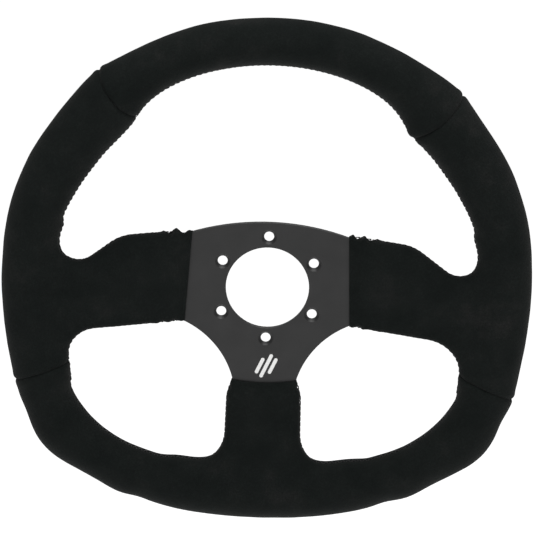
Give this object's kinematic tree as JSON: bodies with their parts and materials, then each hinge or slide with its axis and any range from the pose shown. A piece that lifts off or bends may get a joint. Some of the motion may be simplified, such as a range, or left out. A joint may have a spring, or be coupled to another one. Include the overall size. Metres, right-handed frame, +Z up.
{
  "type": "steering wheel",
  "caption": "Flat D-shaped racing steering wheel with suede-covered padded rim and spokes on a bare black hub plate with a bolt circle.",
  "frame": {"origin": "centre of the hub bolt circle on the plate's rear (mounting) face", "axes": "+Z up towards the top of the rim; +X to the driver's right; -Y out of the wheel's front towards the driver, so +Y runs down the steering column"},
  "size_m": [0.3546, 0.0331, 0.3455],
  "materials": {
    "suede": "black suede, matt nap",
    "black_anodised": "black anodised, satin",
    "mark_paint": "white screen-printed film",
    "hoop_steel": "black painted steel",
    "rivet_metal": "plain",
    "rim_foam": "self-skinned polyurethane foam",
    "pad_foam": "closed-cell foam sheet",
    "thread": "waxed black thread"
  },
  "bodies": {
    "root": {"hub_plate": "black_anodised", "centre_mark": "mark_paint", "rim_hoop": "hoop_steel", "spoke_bracket_left": "hoop_steel", "spoke_bracket_right": "hoop_steel", "spoke_bracket_bottom": "hoop_steel", "spoke_rivets_left": "rivet_metal", "spoke_rivets_right": "rivet_metal", "spoke_rivets_bottom": "rivet_metal", "rim_foam": "rim_foam", "spoke_pad_left_front": "pad_foam", "spoke_pad_left_rear": "pad_foam", "spoke_pad_right_front": "pad_foam", "spoke_pad_right_rear": "pad_foam", "spoke_pad_bottom_front": "pad_foam", "spoke_pad_bottom_rear": "pad_foam", "top_cover": "suede", "left_cover": "suede", "right_cover": "suede", "bottom_cover": "suede", "upper_stitching": "thread", "lower_left_stitching": "thread", "lower_right_stitching": "thread", "panel_seam_thread_upper_left": "thread", "panel_seam_thread_upper_right": "thread", "panel_seam_thread_lower_left": "thread", "panel_seam_thread_lower_right": "thread"}
  },
  "joints": []
}
